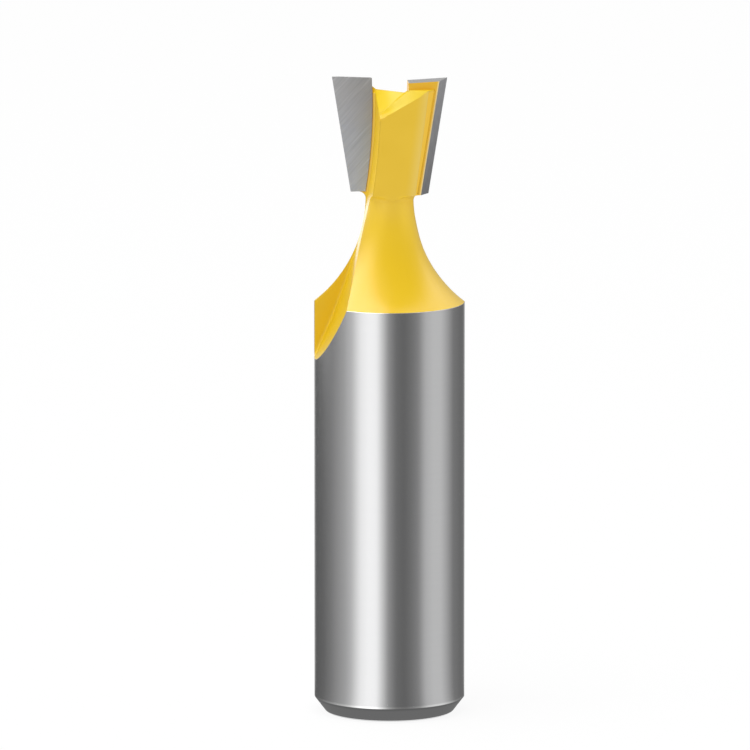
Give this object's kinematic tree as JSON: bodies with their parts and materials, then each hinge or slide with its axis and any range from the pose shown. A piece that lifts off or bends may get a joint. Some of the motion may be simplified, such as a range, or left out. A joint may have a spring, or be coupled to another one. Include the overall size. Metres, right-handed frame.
{
  "type": "dovetail cutter",
  "caption": "Router cutter with a straight round shank, a coved slim neck and a flared dovetail head with brazed carbide tips, for cutting dovetail sockets in wood.",
  "frame": {"origin": "centre of the shank's end face, which it stands on", "axes": "+Z along the turning axis from the shank to the cutting end; the rake faces are parallel to XZ"},
  "size_m": [0.0126, 0.0126, 0.0541],
  "materials": {
    "steel_body": "bright ground steel on the shank, glossy yellow enamel on the cove, neck, gullets and head",
    "carbide": "ground tungsten carbide, satin grey with fine grinding lines"
  },
  "bodies": {
    "root": {"body": "steel_body", "carbide_tip_1": "carbide", "carbide_tip_2": "carbide"}
  },
  "joints": []
}
